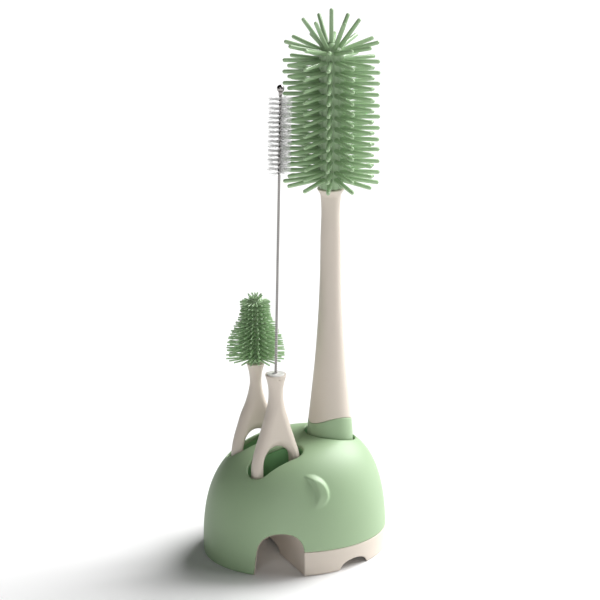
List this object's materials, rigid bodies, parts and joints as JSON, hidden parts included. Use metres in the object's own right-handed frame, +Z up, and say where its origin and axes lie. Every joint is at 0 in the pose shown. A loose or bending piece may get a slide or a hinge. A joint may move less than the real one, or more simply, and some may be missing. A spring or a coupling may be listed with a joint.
{
  "type": "baby bottle brush set with stand",
  "caption": "Baby bottle brush set: a silicone bottle brush, a teat brush and a straw brush that stand in a dome-shaped holder with an arched tunnel.",
  "frame": {"origin": "under the middle of the holder, on the surface that it stands on", "axes": "+Z up, along the large brush; +X from the tunnel end of the holder towards the large brush's end; the two fork slots lie side by side along Y"},
  "size_m": [0.1039, 0.0896, 0.3011],
  "materials": {
    "green_plastic": "satin moulded polypropylene, sage green",
    "cream_plastic": "satin moulded polypropylene, warm cream",
    "core_plastic": "plain moulded nylon, off-white",
    "white_plastic": "satin moulded plastic, white",
    "green_silicone": "soft matte silicone, sage green",
    "pad_rubber": "matte soft pad, grey",
    "steel_wire": "bright stainless wire",
    "clear_nylon": "translucent nylon bristle"
  },
  "bodies": {
    "base": {"base_tray": "cream_plastic", "grip_pads": "pad_rubber"},
    "shell": {"dome_shell": "green_plastic", "brush_socket": "green_plastic", "nipple_brush_pocket": "green_plastic", "straw_brush_pocket": "green_plastic"},
    "bottle_brush": {"handle_grip": "cream_plastic", "handle_cap": "green_plastic", "handle_spine": "core_plastic", "bottle_head_core": "core_plastic", "bottle_head": "green_silicone"},
    "nipple_brush": {"nipple_handle": "cream_plastic", "nipple_core": "core_plastic", "nipple_head": "green_silicone"},
    "straw_brush": {"straw_handle": "cream_plastic", "straw_end_plug": "white_plastic", "straw_wire": "steel_wire", "straw_bristles": "clear_nylon", "straw_tip_ball": "steel_wire"}
  },
  "joints": [
    {"name": "shell_lift", "type": "slide", "parent": "base", "child": "shell", "axis": [0, 0, 1], "range_m": [0, 0.08]},
    {"name": "bottle_brush_lift", "type": "slide", "parent": "shell", "child": "bottle_brush", "axis": [0, 0, 1], "range_m": [0, 0.06]},
    {"name": "nipple_brush_lift", "type": "slide", "parent": "shell", "child": "nipple_brush", "axis": [0, 0, 1], "range_m": [0, 0.05]},
    {"name": "straw_brush_lift", "type": "slide", "parent": "shell", "child": "straw_brush", "axis": [0, 0, 1], "range_m": [0, 0.05]}
  ]
}
